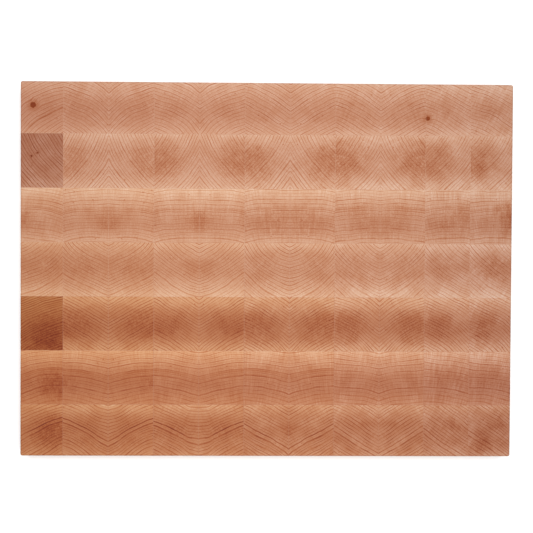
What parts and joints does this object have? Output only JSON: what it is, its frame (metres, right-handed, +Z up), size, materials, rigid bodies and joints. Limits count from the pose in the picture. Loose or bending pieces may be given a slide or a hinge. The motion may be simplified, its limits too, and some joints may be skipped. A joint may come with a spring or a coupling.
{
  "type": "end-grain cutting board",
  "caption": "Thick rectangular end-grain butcher-block board with eased edges, glued up from book-matched hardwood blocks, flat on both faces for cutting on.",
  "frame": {"origin": "centre of the underside, on the surface that the board stands on", "axes": "+X along the board's length, across the glued slices; +Y across its width, along one slice; +Z up, out of the cutting face"},
  "size_m": [0.5, 0.38, 0.05],
  "materials": {
    "maple_row_1": "sanded end grain, oiled, satin",
    "maple_row_2": "sanded end grain, oiled, satin",
    "maple_row_3": "sanded end grain, oiled, satin",
    "maple_row_4": "sanded end grain, oiled, satin",
    "maple_row_5": "sanded end grain, oiled, satin",
    "maple_row_6": "sanded end grain, oiled, satin",
    "maple_row_7": "sanded end grain, oiled, satin",
    "maple_dark_row_2": "darker end grain, oiled, satin",
    "maple_dark_row_5": "darker end grain, oiled, satin",
    "wood_glue": "cured adhesive, matt"
  },
  "bodies": {
    "root": {"block_row1_slice01": "maple_row_1", "blocks_row1_slice02_03": "maple_row_1", "blocks_row1_slice04_05": "maple_row_1", "blocks_row1_slice06_07": "maple_row_1", "blocks_row1_slice08_09": "maple_row_1", "block_row1_slice10": "maple_row_1", "block_row1_slice11": "maple_row_1", "block_row2_slice01": "maple_dark_row_2", "blocks_row2_slice02_03": "maple_row_2", "blocks_row2_slice04_05": "maple_row_2", "blocks_row2_slice06_07": "maple_row_2", "blocks_row2_slice08_09": "maple_row_2", "block_row2_slice10": "maple_row_2", "block_row2_slice11": "maple_row_2", "block_row3_slice01": "maple_row_3", "blocks_row3_slice02_03": "maple_row_3", "blocks_row3_slice04_05": "maple_row_3", "blocks_row3_slice06_07": "maple_row_3", "blocks_row3_slice08_09": "maple_row_3", "block_row3_slice10": "maple_row_3", "block_row3_slice11": "maple_row_3", "block_row4_slice01": "maple_row_4", "blocks_row4_slice02_03": "maple_row_4", "blocks_row4_slice04_05": "maple_row_4", "blocks_row4_slice06_07": "maple_row_4", "blocks_row4_slice08_09": "maple_row_4", "block_row4_slice10": "maple_row_4", "block_row4_slice11": "maple_row_4", "block_row5_slice01": "maple_dark_row_5", "blocks_row5_slice02_03": "maple_row_5", "blocks_row5_slice04_05": "maple_row_5", "blocks_row5_slice06_07": "maple_row_5", "blocks_row5_slice08_09": "maple_row_5", "block_row5_slice10": "maple_row_5", "block_row5_slice11": "maple_row_5", "block_row6_slice01": "maple_row_6", "blocks_row6_slice02_03": "maple_row_6", "blocks_row6_slice04_05": "maple_row_6", "blocks_row6_slice06_07": "maple_row_6", "blocks_row6_slice08_09": "maple_row_6", "block_row6_slice10": "maple_row_6", "block_row6_slice11": "maple_row_6", "block_row7_slice01": "maple_row_7", "blocks_row7_slice02_03": "maple_row_7", "blocks_row7_slice04_05": "maple_row_7", "blocks_row7_slice06_07": "maple_row_7", "blocks_row7_slice08_09": "maple_row_7", "block_row7_slice10": "maple_row_7", "block_row7_slice11": "maple_row_7", "slice_glue_01_02": "wood_glue", "slice_glue_02_03": "wood_glue", "slice_glue_03_04": "wood_glue", "slice_glue_04_05": "wood_glue", "slice_glue_05_06": "wood_glue", "slice_glue_06_07": "wood_glue", "slice_glue_07_08": "wood_glue", "slice_glue_08_09": "wood_glue", "slice_glue_09_10": "wood_glue", "slice_glue_10_11": "wood_glue", "strip_glue_films": "wood_glue"}
  },
  "joints": []
}
